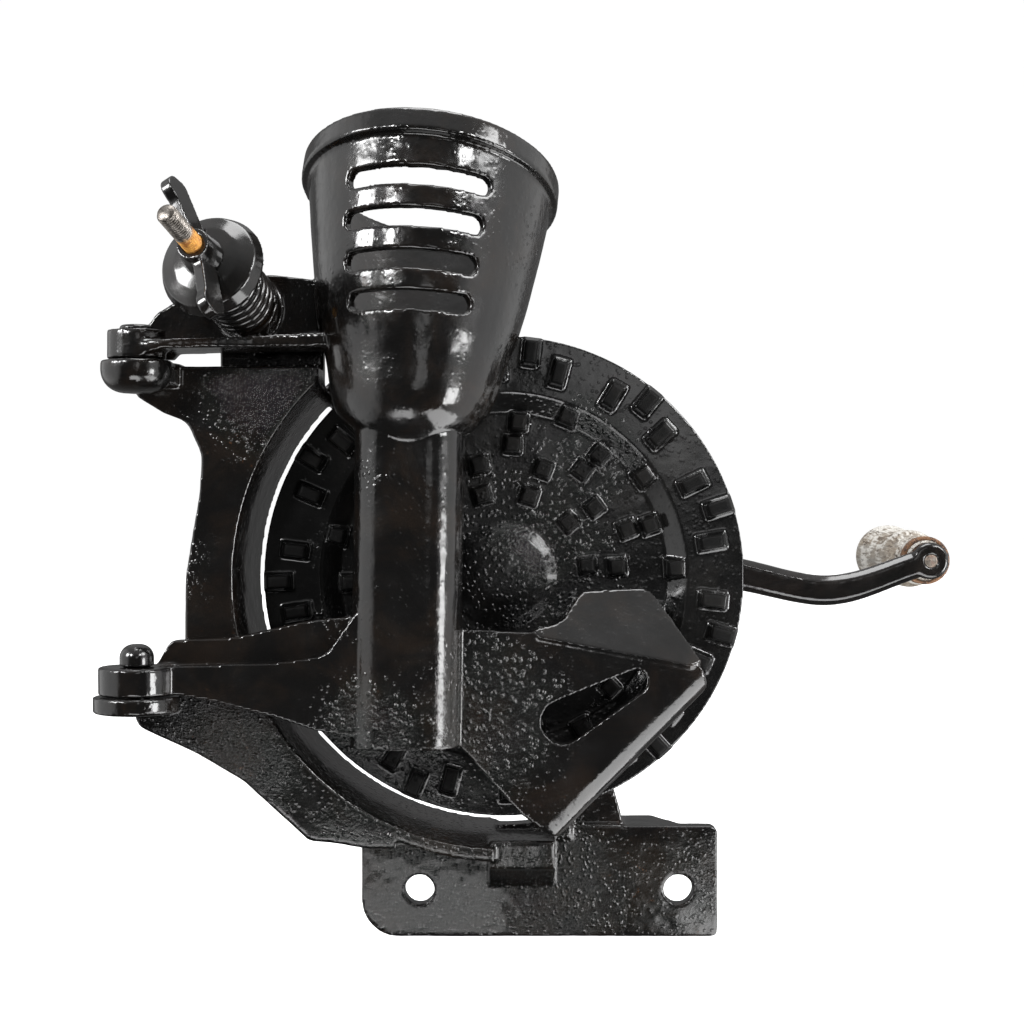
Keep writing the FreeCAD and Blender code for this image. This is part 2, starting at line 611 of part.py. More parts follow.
def cup_slot(share, left_angle, right_angle):
    """Round-ended slot through the front wall, along the cup's circumference."""
    centre, normal = along_cup(share)
    toward = V(0.04, -1, 0)
    toward = (toward - normal * toward.dot(normal)).normalize()
    side = normal.cross(toward)
    reach = RIM_R + 12.0
    cuts = []
    start = centre + toward * 5
    angles = (radians(-left_angle), 0, radians(right_angle))
    spread = [centre + (toward * cos(a) + side * sin(a)) * reach for a in angles]
    sides = [Part.makeLine(start, spread[0]), Part.Arc(*spread).toShape(), Part.makeLine(spread[2], start)]
    wedge = Part.Face(Part.Wire(sides))
    wedge.translate(normal * (-SLOT_H / 2))
    cuts.append(wedge.extrude(normal * SLOT_H))
    for end in (spread[0], spread[2]):
        cuts.append(rod(SLOT_H / 2, start, end))
    return cuts


def throat_outline(grow, back):
    """U-shaped outline in X and Y, open towards the disc when its inside is cut out."""
    half = THROAT_W / 2 + grow
    x = NECK_C[0]
    front = THROAT_FRONT - grow
    r = THROAT_ROUND + grow
    return [(x - half, back, 0), (x - half, front, r), (x + half, front, r), (x + half, back, 0)]


def throat(grow, back, top, bottom):
    face = rounded_face(throat_outline(grow, back), in_xy(top))
    return face.extrude(V(THROAT_LEAN, 0, bottom - top))


def guard():
    """Plate over the lower right of the disc, with a bent-back top and a rolled lower right edge."""
    fold_a, fold_b = (14.0, -26.0), (95.0, -41.0)
    main = plate_y([(-22.0, -24.0, 0), (*fold_a, 0), (*fold_b, 8), (99.0, -53.0, 7), (26.0, -126.0, 5),
                    (8.0, -113.0, 10), (-16.0, -86.0, 8), (-22.0, -80.0, 0)], GUARD_FRONT, GUARD_FRONT + GUARD_T)
    lip = plate_y([(*fold_a, 0), (28.0, -21.0, 10), (38.0, -4.0, 9), (72.0, -1.0, 8), (*fold_b, 0), (90.0, -44.0, 0),
                   (16.0, -30.0, 0)], GUARD_FRONT, GUARD_FRONT + GUARD_T)
    lip.rotate(V(fold_a[0], GUARD_FRONT + GUARD_T / 2, fold_a[1]),
               V(fold_b[0] - fold_a[0], 0, fold_b[1] - fold_a[1]), -LIP_TILT)
    edge = plate_y([(99.0, -53.0, 5), (94.0, -45.0, 0), (88.0, -50.0, 0), (22.0, -118.0, 0), (14.0, -117.0, 0),
                    (26.0, -126.0, 4)], GUARD_FRONT, GUARD_BACK)
    slot_a, slot_b = V(28.5, 0, -68.8), V(63.5, 0, -49.6)
    return [main, lip, edge], [teardrop(slot_a, 10.5, slot_b, 5.8), edge_roll(V(26, 0, -126), V(99, 0, -53))]


def edge_roll(start, end):
    """What is cut from the front of a straight edge to roll it back."""
    along = (end - start).normalize()
    out = along.cross(AXIS_Y)
    out = out if out.z < 0 else out * -1
    over, r = 4.0, GUARD_ROLL
    start, length = start - along * over, (end - start).Length + 2 * over
    front = V(0, GUARD_FRONT, 0)
    section = [start + front - out * r - AXIS_Y * over, start + front + out * over - AXIS_Y * over,
               start + front + out * over + AXIS_Y * r, start + front - out * r + AXIS_Y * r]
    block = Part.Face(Part.makePolygon(section + section[:1])).extrude(along * length)
    return block.cut(rod(r, section[3] - along, section[3] + along * (length + 1)))


def teardrop(a, ra, b, rb):
    """Slot of two unlike round ends joined by their tangents."""
    line = b - a
    length = hypot(line.x, line.z)
    heading = atan2(line.z, line.x)
    lean = acos((ra - rb) / length)
    low, high = GUARD_FRONT - 20, GUARD_BACK + 5
    corners = []
    for centre, r, side in ((a, ra, 1), (b, rb, 1), (b, rb, -1), (a, ra, -1)):
        angle = heading + side * lean
        corners.append(V(centre.x + r * cos(angle), low, centre.z + r * sin(angle)))
    middle = Part.Face(Part.makePolygon(corners + corners[:1])).extrude(V(0, high - low, 0))
    return fused(middle, rod_y(ra, low, high, a.x, a.z), rod_y(rb, low, high, b.x, b.z))


def lower_arm():
    band_back = THROAT_FRONT + 6 + ARM_T
    start, (low, high) = HINGE_X + 4.0, LOWER_EYE
    front = plate_y([(start, high, 0), (-106.0, -39.0, 60), (-84.0, -36.0, 12), (-70.0, -16.0, 0), (-60.0, -16.0, 0),
                     (-60.0, -76.0, 0), (-88.0, -71.5, 20), (-108.0, -65.0, 40), (start + 34.0, low - 3.0, 20),
                     (start + 18.0, low, 10), (start, low, 0)], THROAT_FRONT + 6, band_back)
    web_front = RING_FRONT - ARM_FRONT_GAP - ARM_T
    web = plate_y([(start, -50.0, 0), (start, -42.5, 0), (start + 4.5, -40.5, 3), (start + 11.0, -29.3, 5),
                   (-129.0, -28.0, 40), (-95.0, -20.2, 60), (-66.0, -17.0, 0), (-66.0, -50.0, 0)],
                  web_front, web_front + ARM_T)
    floor = plate_z([(start + 2.0, THROAT_FRONT + 7, 0), (-66.0, THROAT_FRONT + 7, 0), (-66.0, web_front + 6, 0),
                     (start + 2.0, web_front + 6, 0)], -49.0, -42.0)
    eye = rod_z(LOWER_EYE_R, LOWER_EYE[0], LOWER_EYE[1], HINGE_X, HINGE_Y)
    return [front, web, floor, eye]


def upper_arm():
    """Slab that climbs from the upper eye to the cup, the web behind it and the seat of the spring."""
    (z0, z1), left, back = UPPER_EYE, HINGE_X, WEB_FRONT + ARM_T
    eye = rod_z(UPPER_EYE_R, z0, z1, HINGE_X, HINGE_Y)
    side = plate_y([(left - 2.0, z0 + 0.4, 0), (left + 16.0, z0 + 4.4, 14), (-106.0, z0 + 6.0, 40),
                    (-78.0, z0 + 7.5, 0), (-78.0, z0 + 14.5, 0), (-120.0, z0 + 10.8, 40), (left + 16.0, z0 + 8.6, 20),
                    (left - 2.0, z0 + 7.0, 0)], HINGE_Y - 20, back)
    plan = plate_z([(left, HINGE_Y - 13, 0), (left + 16.0, HINGE_Y - 15, 20), (-110.0, HINGE_Y - 3, 40),
                    (-78.0, HINGE_Y + 8, 0), (-78.0, back, 0), (left, back, 0)], z0, z1 + 13.0)
    web = plate_y([(left - 8.0, z0 + 1.5, 0), (left - 8.0, z1 + 3.0, 5), (left + 2.0, z1 + 4.5, 2),
                   (left + 6.0, z1 + 10.0, 6), (left + 17.0, 135.0, 10), (-141.0, 144.0, 16), (-113.0, 147.0, 20),
                   (-80.0, 143.0, 0), (-80.0, z0 + 5.8, 0), (left + 17.5, z0 + 5.8, 4), (left + 14.0, z0 + 1.5, 0)],
                  WEB_FRONT, back)
    seat = on_stud(SEAT_R, SEAT_AT - 15.0, SEAT_AT - BOLT_GAP)
    return [eye, side.common(plan), web, seat]


def hopper_casting():
    plates, guard_cuts = guard()
    outer = fused(cup_loft(0.0), collar(), throat(0.0, THROAT_BACK, NECK_C[2] + 4, THROAT_BOTTOM),
                  *lower_arm(), *upper_arm(), *plates)
    throat_inside = throat(-WALL, 30.0, NECK_C[2] + 4, THROAT_BOTTOM - 10)
    cuts = [cup_loft(WALL, past_rim=True), throat_inside] + guard_cuts
    cuts += [rod_z(HINGE_PIN_R + RUN_FIT, z0 - 5, z1 + 5, HINGE_X, HINGE_Y) for z0, z1 in (LOWER_EYE, UPPER_EYE)]
    cuts += [on_stud(SLEEVE_R, 5.0, 60.0), rod_y(DISC_R + SWING_CLEAR, THROAT_BACK, RIM_R)]
    cuts += [on_stud(SPRING_R + SPRING_WIRE_R + SPRING_CLEAR, SEAT_AT, CUP_AT)]
    for share, left_angle, right_angle in SLOTS:
        cuts += cup_slot(share, left_angle, right_angle)
    return outer.cut(cuts)


# Hinge pins


def hinge_pin(head_z, head_h, rounding, bottom):
    """Headed pin, peened flush under its lug."""
    head = rod_z(PIN_HEAD_R, head_z, head_z + head_h, HINGE_X, HINGE_Y)
    rim = [e for e in head.Edges if len(e.Vertexes) == 1 and e.CenterOfMass.z > head_z + 1]
    return fused(head.makeFillet(rounding, rim), rod_z(HINGE_PIN_R, bottom, head_z, HINGE_X, HINGE_Y))


def hinge_pin_lower():
    bottom = LOWER_EYE[0] - SEAT_GAP - LOWER_LUG_T
    return hinge_pin(LOWER_EYE[1] + SEAT_GAP, PIN_HEAD_H, PIN_HEAD_R * 0.8, bottom)


def hinge_pin_upper():
    bottom = UPPER_EYE[0] - SEAT_GAP - UPPER_LUG_T
    return hinge_pin(UPPER_EYE[1] + SEAT_GAP, RIVET_HEAD_H, RIVET_HEAD_H * 0.8, bottom)


# Spring, stud and wing nut


def tension_stud():
    body = on_stud(STUD_R, -STUD_BOSS_L - STUD_NUT_T - 3.0, STUD_TIP)
    tip = [e for e in body.Edges if len(e.Vertexes) == 1]
    return body.makeChamfer(0.9, tip)


def stud_nut():
    base = stud_point(-STUD_BOSS_L)
    blank = hexagon(STUD_NUT_ACROSS, STUD_NUT_T, base, STUD_DIR * -1)
    return blank.cut(on_stud(STUD_R, -30, 0))


def tension_spring():
    """Round-wire coil between the ear's seat and the spring cup."""
    length = SPRING_L - 2 * SPRING_WIRE_R - 0.6
    helix = Part.makeHelix(length / SPRING_TURNS, length, SPRING_R)
    profile = Part.Wire(Part.makeCircle(SPRING_WIRE_R, V(SPRING_R, 0, 0), V(0, 1, 0)))
    coil = Part.Wire(helix).makePipeShell([profile], True, True)
    turn = FreeCAD.Rotation(AXIS_Z, STUD_DIR)
    coil.Placement = FreeCAD.Placement(stud_point(SEAT_AT + SPRING_WIRE_R + 0.3), turn)
    return coil


def spring_cup():
    """Dished washer that caps the spring, with a short skirt around it."""
    base = stud_point(CUP_AT)
    profile = [(STUD_R + BOLT_GAP, CUP_DOME), (STUD_R + 5, CUP_DOME - 0.3), (CUP_R * 0.62, CUP_DOME * 0.72),
               (CUP_R * 0.9, CUP_DOME * 0.2), (CUP_R, -CUP_SKIRT)]
    outside = [(r, h + CUP_T) for r, h in profile[:-1]] + profile[-1:]
    inside = [(STUD_R + BOLT_GAP, 0), (CUP_R - CUP_T, 0), (CUP_R - CUP_T, -CUP_SKIRT)]
    ring = outside + inside[::-1]
    points = [V(r, 0, h) for r, h in ring]
    body = Part.Face(Part.makePolygon(points + points[:1])).revolve(V(0, 0, 0), AXIS_Z, 360)
    body.Placement = FreeCAD.Placement(base, FreeCAD.Rotation(AXIS_Z, STUD_DIR))
    return body


def wing_nut():
    """Round hub with two swept, rounded wings."""
    hub = Part.makeCone(WING_HUB_R, WING_HUB_R * 0.8, WING_HUB_L)
    half = WING_SPAN / 2
    wing = [(0, 1, 0), (WING_HUB_R + 3, 1.0, 4), (half - 3, 5.0, 5), (half, 13.0, 5), (half - 6.0, 20.0, 6),
            (half - 14.0, 15.0, 6), (WING_HUB_R + 1, 11.5, 4), (0, 11.5, 0)]
    wings = []
    for side in (-1, 1):
        face = rounded_face([(side * a, b, r) for a, b, r in wing], lambda a, b: V(a, -WING_T / 2, b))
        wings.append(face.extrude(V(0, WING_T, 0)))
    for wing_side in wings:
        wing_side.rotate(V(0, 0, WING_HUB_L / 2), V(1, 0, 0), WING_TILT)
    above = Part.makeBox(WING_SPAN, WING_SPAN, WING_SPAN, V(-WING_SPAN / 2, -WING_SPAN / 2, 0))
    body = fused(hub, *wings).common(above).cut(Part.makeCylinder(STUD_R + RUN_FIT, WING_SPAN, V(0, 0, -WING_SPAN / 2)))
    spin = FreeCAD.Rotation(AXIS_Z, WING_TURN)
    body.Placement = FreeCAD.Placement(stud_point(WING_AT), FreeCAD.Rotation(AXIS_Z, STUD_DIR).multiply(spin))
    return body


def save(name, shape):
    if not shape.isValid() or len(shape.Solids) != 1:
        print("check", name, shape.isValid(), len(shape.Solids))
    solid = shape.Solids[0] if len(shape.Solids) == 1 else shape
    solid = solid.copy()
    solid.translate(ORIGIN * -1)
    solid.exportStep("parts/" + name + ".step")


os.makedirs("parts", exist_ok=True)
save("shelling_disc", shelling_disc())
save("disc_pin", disc_pin())
save("drive_shaft", drive_shaft())
save("thrust_washer_front", thrust_washer(HUB_BACK + SEAT_GAP))
save("thrust_washer_rear", thrust_washer(BEARING_BACK + SEAT_GAP))
save("crank_arm", crank_arm())
save("crank_washer", crank_washer())
save("crank_nut", crank_nut())
save("grip_spindle", grip_spindle())
save("grip_washer", grip_washer())
save("crank_grip", crank_grip())
save("grip_ferrule", grip_ferrule())
save("frame_casting", frame_casting())
save("hopper_casting", hopper_casting())
save("hinge_pin_lower", hinge_pin_lower())
save("hinge_pin_upper", hinge_pin_upper())
save("tension_stud", tension_stud())
save("stud_nut", stud_nut())
save("tension_spring", tension_spring())
save("spring_cup", spring_cup())
save("wing_nut", wing_nut())
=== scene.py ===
"""Looks of the hand crank corn sheller: rounded, pebbled castings under glossy black enamel, a threaded
stud, a coil spring, a turned wooden grip, and the studio around them. Lengths are in metres."""

import json
import math

import bpy
import numpy as np
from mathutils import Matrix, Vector


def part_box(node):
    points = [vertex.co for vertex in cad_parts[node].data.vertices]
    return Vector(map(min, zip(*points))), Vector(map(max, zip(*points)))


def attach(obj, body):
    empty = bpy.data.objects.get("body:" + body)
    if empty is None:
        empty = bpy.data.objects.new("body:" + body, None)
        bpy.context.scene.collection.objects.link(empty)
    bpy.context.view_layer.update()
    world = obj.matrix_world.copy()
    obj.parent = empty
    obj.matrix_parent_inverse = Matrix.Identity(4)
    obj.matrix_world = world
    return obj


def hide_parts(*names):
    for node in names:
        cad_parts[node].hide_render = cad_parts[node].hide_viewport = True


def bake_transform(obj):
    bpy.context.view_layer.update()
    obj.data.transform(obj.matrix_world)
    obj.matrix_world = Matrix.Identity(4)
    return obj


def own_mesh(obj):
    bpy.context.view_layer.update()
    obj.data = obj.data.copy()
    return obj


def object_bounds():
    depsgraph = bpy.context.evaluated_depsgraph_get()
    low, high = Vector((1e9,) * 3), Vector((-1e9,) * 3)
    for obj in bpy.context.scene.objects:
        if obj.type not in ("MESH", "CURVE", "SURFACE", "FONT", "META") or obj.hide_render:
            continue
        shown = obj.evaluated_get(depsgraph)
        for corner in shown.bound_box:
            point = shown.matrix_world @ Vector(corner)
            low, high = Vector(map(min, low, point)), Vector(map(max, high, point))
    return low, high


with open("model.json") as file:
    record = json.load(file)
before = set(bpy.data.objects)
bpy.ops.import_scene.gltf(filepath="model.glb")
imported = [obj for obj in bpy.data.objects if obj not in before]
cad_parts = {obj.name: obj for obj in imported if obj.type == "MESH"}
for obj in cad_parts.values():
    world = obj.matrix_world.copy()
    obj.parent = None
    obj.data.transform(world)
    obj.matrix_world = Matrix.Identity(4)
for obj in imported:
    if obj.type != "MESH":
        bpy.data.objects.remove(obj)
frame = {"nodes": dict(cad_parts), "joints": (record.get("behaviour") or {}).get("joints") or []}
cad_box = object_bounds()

MM = 0.001
JOINTS = {j["name"]: j for j in frame["joints"]}
SHAFT = Vector(JOINTS["crank_turn"]["pos_m"])
STUD_AXIS = Vector(JOINTS["tension_travel"]["axis"]).normalized()
WING_AT = Vector(JOINTS["wing_turn"]["pos_m"])
GRIP_AT = Vector(JOINTS["grip_spin"]["pos_m"])

# Shelling disc, as distances from its axis and from the front of its rim
DISH_EDGE, BAND_EDGE = 0.080, 0.093
DISH_LEVEL, BAND_LEVEL = 0.0015, -0.0045    # part of the way up the teeth, on the dish and on the rim
DOME_EDGE = (0.029, 0.032)

# Black enamel
ENAMEL_ROUGH = (0.11, 0.22)
ENAMEL_COAT, ENAMEL_COAT_ROUGH = 0.35, 0.08
ENAMEL_SPECULAR = 0.55
TIP_ROUGH, TIP_SPECULAR = 0.55, 0.10
RUST = (0.10, 0.045, 0.02)

# Bare steel
STEEL_ROUGH, STEEL_METALLIC, STEEL_RUST_FROM = 0.34, 0.85, 0.55
GREASE_TO = 0.031    # how far past the wing nut's foot the stud is orange

GRAIN_STRETCH = 0.09    # the wood's grain runs along Y
SKIN_LEVEL = 0.62       # over a half, so that an uneven skin lies mostly inside the CAD surface


# Node helpers


def new_material(name):
    """Empty material with one shader, and what is needed to add to it."""
    material = bpy.data.materials.new(name)
    material.use_nodes = True
    nodes, links = material.node_tree.nodes, material.node_tree.links
    nodes.clear()
    out = nodes.new("ShaderNodeOutputMaterial")
    shader = nodes.new("ShaderNodeBsdfPrincipled")
    links.new(shader.outputs["BSDF"], out.inputs["Surface"])
    return material, nodes, links, shader


def position(nodes):
    """Place on the object."""
    return nodes.new("ShaderNodeTexCoord").outputs["Object"]


def noise(nodes, links, where, size, detail=3.0, roughness=0.55, distortion=0.0):
    """Noise whose lumps are about size across."""
    node = nodes.new("ShaderNodeTexNoise")
    node.inputs["Scale"].default_value = 1.0 / size
    node.inputs["Detail"].default_value = detail
    node.inputs["Roughness"].default_value = roughness
    node.inputs["Distortion"].default_value = distortion
    links.new(where, node.inputs["Vector"])
    return node.outputs["Fac"]


def cells(nodes, links, where, size):
    """Distance from the middle of rounded cells about size across."""
    node = nodes.new("ShaderNodeTexVoronoi")
    node.feature = "SMOOTH_F1"
    node.inputs["Scale"].default_value = 1.0 / size
    node.inputs["Smoothness"].default_value = 0.6
    links.new(where, node.inputs["Vector"])
    return node.outputs["Distance"]


def ramp(nodes, links, value, low, high, to_low=0.0, to_high=1.0):
    """Smooth step of value from low to high, given out as to_low to to_high."""
    node = nodes.new("ShaderNodeMapRange")
    node.interpolation_type = "SMOOTHSTEP"
    for key, number in (("From Min", low), ("From Max", high), ("To Min", to_low), ("To Max", to_high)):
        node.inputs[key].default_value = number
    links.new(value, node.inputs["Value"])
    return node.outputs["Result"]


def maths(nodes, links, operation, a, b):
    """One sum; each term is a number or a socket."""
    node = nodes.new("ShaderNodeMath")
    node.operation = operation
    for socket, value in zip(node.inputs, (a, b)):
        if isinstance(value, (int, float)):
            socket.default_value = value
        else:
            links.new(value, socket)
    return node.outputs["Value"]


def mix(nodes, links, factor, a, b):
    """Mix of two colours; each is a colour or a socket."""
    node = nodes.new("ShaderNodeMix")
    node.data_type = "RGBA"
    links.new(factor, node.inputs["Factor"])
    for socket, value in ((node.inputs[6], a), (node.inputs[7], b)):
        if isinstance(value, (tuple, list)):
            socket.default_value = (*value, 1.0)
        else:
            links.new(value, socket)
    return node.outputs[2]


def bump(nodes, links, height, distance, under=None):
    """Relief of the given height, laid over another one if there is one under it."""
    node = nodes.new("ShaderNodeBump")
    node.inputs["Distance"].default_value = distance
    node.inputs["Strength"].default_value = 1.0
    links.new(height, node.inputs["Height"])
    if under is not None:
        links.new(under, node.inputs["Normal"])
    return node.outputs["Normal"]


# Materials


def near(nodes, links, where, place, radius):
    """1 at a place, fading to 0 at radius, with an uneven edge."""
    gap = nodes.new("ShaderNodeVectorMath")
    gap.operation = "DISTANCE"
    gap.inputs[1].default_value = place
    links.new(where, gap.inputs[0])
    ragged = maths(nodes, links, "MULTIPLY", noise(nodes, links, where, 0.02, 4.0), radius * 0.8)
    reach = maths(nodes, links, "ADD", gap.outputs["Value"], ragged)
    return ramp(nodes, links, reach, radius * 0.5, radius * 1.9, 1.0, 0.0)


def tooth_tips(nodes, links, where):
    """1 on the blunt tips of the disc's teeth, 0 on the disc itself."""
    split = nodes.new("ShaderNodeSeparateXYZ")
    links.new(where, split.inputs["Vector"])
    flat = nodes.new("ShaderNodeVectorMath")
    flat.operation = "MULTIPLY"
    flat.inputs[1].default_value = (1.0, 0.0, 1.0)
    links.new(where, flat.inputs[0])
    gap = nodes.new("ShaderNodeVectorMath")
    gap.operation = "DISTANCE"
    gap.inputs[1].default_value = (SHAFT.x, 0.0, SHAFT.z)
    links.new(flat.outputs["Vector"], gap.inputs[0])
    level = ramp(nodes, links, gap.outputs["Value"], DISH_EDGE, BAND_EDGE,
                 SHAFT.y + DISH_LEVEL, SHAFT.y + BAND_LEVEL)
    proud = maths(nodes, links, "SUBTRACT", level, split.outputs["Y"])
    off_dome = ramp(nodes, links, gap.outputs["Value"], *DOME_EDGE)
    return maths(nodes, links, "MULTIPLY", ramp(nodes, links, proud, -0.0004, 0.0004), off_dome)


def cast_enamel(name, black, brown, pebble_size, pebble_depth, smooth_share, rust=0.0, rough_at=(),
                waves=0.0004, toothed=False):
    """Glossy black paint over sand-cast iron: pebbled in patches, browned in others."""
    material, nodes, links, shader = new_material(name)
    where = position(nodes)
    patches = ramp(nodes, links, noise(nodes, links, where, 0.055, 3.0),
                   smooth_share - 0.05, smooth_share + 0.2, 0.0, 0.5)
    for place, radius in rough_at:
        patches = maths(nodes, links, "MAXIMUM", patches, near(nodes, links, where, place, radius))
    stains = ramp(nodes, links, noise(nodes, links, where, 0.035, 5.0, 0.65, 0.6), 0.42, 0.68)
    speck = ramp(nodes, links, noise(nodes, links, where, 0.004, 6.0, 0.7), 0.60, 0.74)
    colour = mix(nodes, links, stains, black, brown)
    if rust:
        spots = maths(nodes, links, "MULTIPLY", speck, ramp(nodes, links, stains, 0.2, 0.9, 0.0, rust))
        colour = mix(nodes, links, spots, colour, RUST)
    links.new(colour, shader.inputs["Base Color"])
    drops = ramp(nodes, links, cells(nodes, links, where, pebble_size), 0.08, 0.42, 1.0, 0.0)
    fine = noise(nodes, links, where, pebble_size * 0.5, 4.0, 0.6)
    lumps = maths(nodes, links, "ADD", drops, maths(nodes, links, "MULTIPLY", fine, 0.45))
    amount = ramp(nodes, links, patches, 0.0, 1.0, 0.06, 1.0)
    pebbles = maths(nodes, links, "MULTIPLY", lumps, amount)
    wide = noise(nodes, links, where, 0.014, 2.0)
    normal = bump(nodes, links, wide, waves)
    links.new(bump(nodes, links, pebbles, pebble_depth, normal), shader.inputs["Normal"])
    gloss = noise(nodes, links, where, 0.020, 4.0)
    roughness = ramp(nodes, links, gloss, 0.3, 0.7, *ENAMEL_ROUGH)
    coat_input, specular_input = shader.inputs["Coat Weight"], shader.inputs["Specular IOR Level"]
    if toothed:
        tips = tooth_tips(nodes, links, where)
        dull = maths(nodes, links, "MULTIPLY", tips, TIP_ROUGH)
        roughness = maths(nodes, links, "MAXIMUM", roughness, dull)
        links.new(ramp(nodes, links, tips, 0.0, 1.0, ENAMEL_COAT, 0.0), coat_input)
        links.new(ramp(nodes, links, tips, 0.0, 1.0, ENAMEL_SPECULAR, TIP_SPECULAR), specular_input)
    else:
        coat_input.default_value = ENAMEL_COAT
        specular_input.default_value = ENAMEL_SPECULAR
    links.new(roughness, shader.inputs["Roughness"])
    shader.inputs["Coat Roughness"].default_value = ENAMEL_COAT_ROUGH
    return material


def old_steel(name, colour, dark, rust):
    """Bare or browned steel with rust in patches."""
    material, nodes, links, shader = new_material(name)
    where = position(nodes)
    tone = ramp(nodes, links, noise(nodes, links, where, 0.006, 5.0, 0.6), 0.35, 0.7)
    rusty = ramp(nodes, links, noise(nodes, links, where, 0.009, 6.0, 0.7, 0.4),
                 STEEL_RUST_FROM - 0.07, STEEL_RUST_FROM + 0.12)
    base = mix(nodes, links, tone, colour, dark)
    links.new(mix(nodes, links, rusty, base, rust), shader.inputs["Base Color"])
    links.new(ramp(nodes, links, rusty, 0.0, 1.0, STEEL_METALLIC, 0.15), shader.inputs["Metallic"])
    links.new(ramp(nodes, links, rusty, 0.0, 1.0, STEEL_ROUGH, 0.75), shader.inputs["Roughness"])
    pits = noise(nodes, links, where, 0.0012, 5.0, 0.7)
    links.new(bump(nodes, links, pits, 0.00015), shader.inputs["Normal"])
    return material


def thread_steel():
    """Bare thread: clean at the tip, with orange rust and grease where the wing nut runs."""
    material, nodes, links, shader = new_material("thread_steel")
    where = position(nodes)
    along = nodes.new("ShaderNodeVectorMath")
    along.operation = "DOT_PRODUCT"
    along.inputs[1].default_value = STUD_AXIS
    links.new(where, along.inputs[0])
    nut_at = WING_AT.dot(STUD_AXIS)
    wobble = maths(nodes, links, "MULTIPLY", noise(nodes, links, where, 0.005, 4.0), 0.010)
    reach = maths(nodes, links, "ADD", along.outputs["Value"], wobble)
    orange = ramp(nodes, links, reach, nut_at + GREASE_TO - 0.005, nut_at + GREASE_TO, 1.0, 0.0)
    grime = ramp(nodes, links, noise(nodes, links, where, 0.003, 5.0), 0.4, 0.65)
    bare = mix(nodes, links, grime, (0.24, 0.22, 0.20), (0.10, 0.09, 0.08))
    grease = mix(nodes, links, grime, (0.62, 0.30, 0.05), (0.34, 0.13, 0.02))
    links.new(mix(nodes, links, orange, bare, grease), shader.inputs["Base Color"])
    links.new(ramp(nodes, links, orange, 0.0, 1.0, 0.9, 0.05), shader.inputs["Metallic"])
    links.new(ramp(nodes, links, orange, 0.0, 1.0, 0.33, 0.5), shader.inputs["Roughness"])
    links.new(bump(nodes, links, noise(nodes, links, where, 0.0009, 4.0), 0.00012), shader.inputs["Normal"])
    return material


def weathered_wood():
    """Grey, dry turned wood with long grain, cracks and the last of its pale paint."""
    material, nodes, links, shader = new_material("weathered_wood")
    where = position(nodes)
    stretch = nodes.new("ShaderNodeMapping")
    stretch.inputs["Scale"].default_value = (1.0, GRAIN_STRETCH, 1.0)
    links.new(where, stretch.inputs["Vector"])
    streaks = noise(nodes, links, stretch.outputs["Vector"], 0.0016, 6.0, 0.65, 0.5)
    bands = noise(nodes, links, stretch.outputs["Vector"], 0.007, 3.0, 0.6, 0.3)
    grain = ramp(nodes, links, streaks, 0.35, 0.7)
    wood = mix(nodes, links, grain, (0.36, 0.31, 0.25), (0.13, 0.10, 0.075))
    wood = mix(nodes, links, ramp(nodes, links, bands, 0.4, 0.7), wood, (0.30, 0.28, 0.25))
    worn = maths(nodes, links, "ADD", maths(nodes, links, "MULTIPLY", streaks, 0.45),
                 maths(nodes, links, "MULTIPLY", noise(nodes, links, where, 0.016, 5.0), 0.6))
    paint = ramp(nodes, links, worn, 0.46, 0.56, 1.0, 0.0)
    links.new(mix(nodes, links, paint, wood, (0.62, 0.60, 0.56)), shader.inputs["Base Color"])
    shader.inputs["Roughness"].default_value = 0.72
    crack = ramp(nodes, links, streaks, 0.55, 0.75, 0.0, -1.0)
    links.new(bump(nodes, links, crack, 0.0004), shader.inputs["Normal"])
    return material


def ferrule_metal():
    """Steel band gone brown, with pale paint left in rings."""
    material, nodes, links, shader = new_material("ferrule_metal")
    where = position(nodes)
    split = nodes.new("ShaderNodeSeparateXYZ")
    links.new(where, split.inputs["Vector"])
    wobble = maths(nodes, links, "MULTIPLY", noise(nodes, links, where, 0.006, 4.0), 0.004)
    along = maths(nodes, links, "ADD", split.outputs["Y"], wobble)
    ring_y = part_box("grip_ferrule")[0][1]
    pale = ramp(nodes, links, along, ring_y + 0.0065, ring_y + 0.0085)
    chips = ramp(nodes, links, noise(nodes, links, where, 0.003, 5.0), 0.5, 0.62)
    brown = mix(nodes, links, chips, (0.20, 0.105, 0.055), (0.07, 0.04, 0.028))
    light = mix(nodes, links, chips, (0.60, 0.58, 0.54), (0.24, 0.17, 0.12))
    links.new(mix(nodes, links, pale, brown, light), shader.inputs["Base Color"])
    shader.inputs["Metallic"].default_value = 0.3
    shader.inputs["Roughness"].default_value = 0.5
    links.new(bump(nodes, links, chips, 0.0002), shader.inputs["Normal"])
    return material


# Mesh helpers


def from_arrays(name, points, faces, smooth=True):
    """New object from its corners and faces."""
    mesh = bpy.data.meshes.new(name)
    mesh.from_pydata([tuple(p) for p in points], [], [tuple(f) for f in faces])
    mesh.update()
    obj = bpy.data.objects.new(name, mesh)
    bpy.context.scene.collection.objects.link(obj)
    if smooth:
        mesh.polygons.foreach_set("use_smooth", [True] * len(mesh.polygons))
    return obj


def capped_tube(name, points, around):
    """New object from rings of points, each ring joined to the next and both ends closed."""
    last = len(points) // around - 1
    faces = []
    for i in range(last):
        for j in range(around):
            k = (j + 1) % around
            faces.append((i * around + j, i * around + k, (i + 1) * around + k, (i + 1) * around + j))
    faces.append(tuple(reversed(range(around))))
    faces.append(tuple(range(last * around, (last + 1) * around)))
    return from_arrays(name, points, faces)


